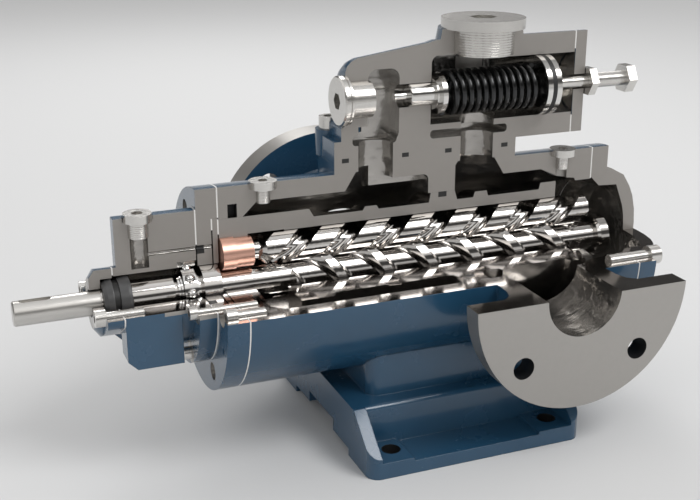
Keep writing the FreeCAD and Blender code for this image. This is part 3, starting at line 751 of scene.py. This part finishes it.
def body_threads() -> list[Thread]:
    """Threads on the tips of the screws of the pump body.

    Returns:
        The threads of all screws, which make one piece.
    """
    name = "screw_threads"
    five = (0, 1, 3, 4, 5)
    threads = screw_threads(name, COVER_CIRCLE, five, -0.1765, -0.1632, radius=0.004, pitch=0.00125)
    threads += screw_threads(name, SEAL_CIRCLE, five, -0.1825, -0.1642, radius=0.003, pitch=0.001)
    threads += screw_threads(name, SEAL_COVER_CIRCLE, (0, 3), -0.2605, -0.2462, radius=0.004, pitch=0.00125)
    threads += screw_threads(name, REAR_CIRCLE, five, 0.1352, 0.1565, radius=0.005, pitch=0.0015)
    return threads


def plug_threads() -> list[Thread]:
    """Threads on the plugs.

    Returns:
        The threads of all plugs, which make one piece.
    """
    name = "plug_threads"
    threads = [
        Thread(name, Z, (TOP_PLUG_X, 0, AXIS_Z + 0.1682), length=0.0198, radius=0.0252, pitch=0.002),
        Thread(name, X, (-0.0725, 0, VALVE_Z), length=0.019, radius=0.0144, pitch=0.0015),
        Thread(name, Z, (VENT_X, 0, AXIS_Z + 0.0482), length=0.0116, radius=0.0076, pitch=0.0015),
    ]
    for x in PLUGS_X:
        threads.append(Thread(name, Z, (x, 0, AXIS_Z + 0.0644), length=0.0106, radius=0.0055, pitch=0.0012))
    return threads


def dress_nodes(shop: Workshop) -> None:
    """Give every CAD node the finish of its slot.

    Args:
        shop: where the materials come from.
    """
    for part in frame["record"]["subparts"]:
        piece = frame["nodes"][part["node"]]
        material = shop.material(SLOT_FINISH[part["material_slot"]])
        for slot in piece.material_slots:
            slot.material = material


class Studio:
    """Camera, floor and light.

    The bands are (height, level) stops of the world that metal reflects, from straight down at 0 to
    straight up at 1. The lamps are (name, place, size, power).
    """

    EYE = Vector((-0.3984, -0.8130, 0.4552))
    YAW = -22.05
    PITCH = 19.18
    LENS = 58.9
    FLOOR_REACH = 12
    SOFT_LEVEL = 0.66
    BACKDROP_LEVEL = 0.72
    BANDS = ((0.1, 0.62), (0.17, 0.08), (0.4, 0.05), (0.52, 0.9), (0.72, 1.0), (0.8, 0.25))
    LAMPS = (
        ("key_lamp", (1.0, -1.4, 2.2), 1.2, 34),
        ("side_lamp", (-1.7, -1.2, 1.3), 0.8, 3),
        ("back_lamp", (0.4, 1.8, 1.6), 1.0, 14),
    )

    def build(self) -> None:
        """Place everything that isn't the pump."""
        self._camera()
        self._floor()
        self._world()
        self._lamps()

    def _camera(self) -> None:
        """The photograph's viewpoint."""
        data = bpy.data.cameras.new("camera")
        data.lens = self.LENS
        data.sensor_width = 36
        data.clip_end = 50
        camera = bpy.data.objects.new("camera", data)
        camera.location = self.EYE
        camera.rotation_euler = Euler((math.radians(90 - self.PITCH), 0, math.radians(self.YAW)))
        bpy.context.scene.collection.objects.link(camera)
        bpy.context.scene.camera = camera

    def _floor(self) -> None:
        """Wide pale floor."""
        mesh = bpy.data.meshes.new("floor")
        reach = self.FLOOR_REACH
        corners = [(-reach, -reach, 0), (reach, -reach, 0), (reach, reach, 0), (-reach, reach, 0)]
        mesh.from_pydata(corners, [], [(0, 1, 2, 3)])
        floor = bpy.data.objects.new("floor", mesh)
        material = bpy.data.materials.new("floor")
        material.use_nodes = True
        shader = material.node_tree.nodes["Principled BSDF"]
        shader.inputs["Base Color"].default_value = (0.66, 0.66, 0.66, 1)
        shader.inputs["Roughness"].default_value = 0.9
        mesh.materials.append(material)
        bpy.context.scene.collection.objects.link(floor)

    def _world(self) -> None:
        """Bands for the metal to reflect, even light for the rest and an even backdrop."""
        world = bpy.data.worlds.new("studio")
        bpy.context.scene.world = world
        world.use_nodes = True
        tree = world.node_tree
        back = tree.nodes["Background"]
        back.inputs["Strength"].default_value = 1.0
        place = tree.nodes.new("ShaderNodeTexCoord")
        parts = tree.nodes.new("ShaderNodeSeparateXYZ")
        tree.links.new(place.outputs["Generated"], parts.inputs["Vector"])
        bands = tree.nodes.new("ShaderNodeValToRGB")
        stops = bands.color_ramp.elements
        stops[0].position, stops[0].color = 0.0, (0.62, 0.61, 0.6, 1)
        stops[1].position, stops[1].color = 1.0, (1, 1, 1, 1)
        for position, level in self.BANDS:
            stop = stops.new(position)
            stop.color = (level, level * 0.985, level * 0.965, 1)
        tree.links.new(parts.outputs["Z"], bands.inputs["Fac"])
        ray = tree.nodes.new("ShaderNodeLightPath")
        lit = self._swap(tree, bands.outputs["Color"], ray.outputs["Is Diffuse Ray"], self.SOFT_LEVEL)
        seen = self._swap(tree, lit, ray.outputs["Is Camera Ray"], self.BACKDROP_LEVEL)
        tree.links.new(seen, back.inputs["Color"])

    @staticmethod
    def _swap(tree: bpy.types.NodeTree, color: bpy.types.NodeSocket, ray: bpy.types.NodeSocket,
              level: float) -> bpy.types.NodeSocket:
        """Show an even grey to one kind of ray.

        Args:
            tree: the world's nodes.
            color: what the other rays meet.
            ray: socket that says whether a ray is of this kind.
            level: how bright the grey is.

        Returns:
            The socket with the result.
        """
        mix = tree.nodes.new("ShaderNodeMix")
        mix.data_type = "RGBA"
        first, second = [socket for socket in mix.inputs if socket.type == "RGBA"]
        tree.links.new(color, first)
        second.default_value = (level, level, level, 1)
        tree.links.new(ray, mix.inputs["Factor"])
        return next(socket for socket in mix.outputs if socket.type == "RGBA")

    def _lamps(self) -> None:
        """Large soft lamps, aimed at the pump."""
        for name, place, size, power in self.LAMPS:
            data = bpy.data.lights.new(name, "AREA")
            data.size = size
            data.energy = power
            lamp = bpy.data.objects.new(name, data)
            lamp.location = place
            aim = Vector((0, 0, AXIS_Z)) - Vector(place)
            lamp.rotation_euler = aim.to_track_quat("-Z", "Y").to_euler()
            bpy.context.scene.collection.objects.link(lamp)


def main() -> None:
    """Build the looks in order."""
    bpy.context.scene.view_settings.view_transform = "Standard"
    shop = Workshop()
    dress_nodes(shop)
    for casting in casting_list():
        casting.build(shop)
    cutter = ThreadCutter()
    steel = shop.material(BOLT)
    cutter.build(body_threads(), "pump_body", steel)
    cutter.build(plug_threads(), "pump_body", steel)
    spindle = Thread("spindle_thread", X, (0.1442, 0, VALVE_Z), length=0.0358, radius=0.006, pitch=0.0015)
    cutter.build([spindle], "adjuster", steel)
    Studio().build()


if __name__ == "__main__":
    logging.basicConfig(level=logging.INFO)
    main()
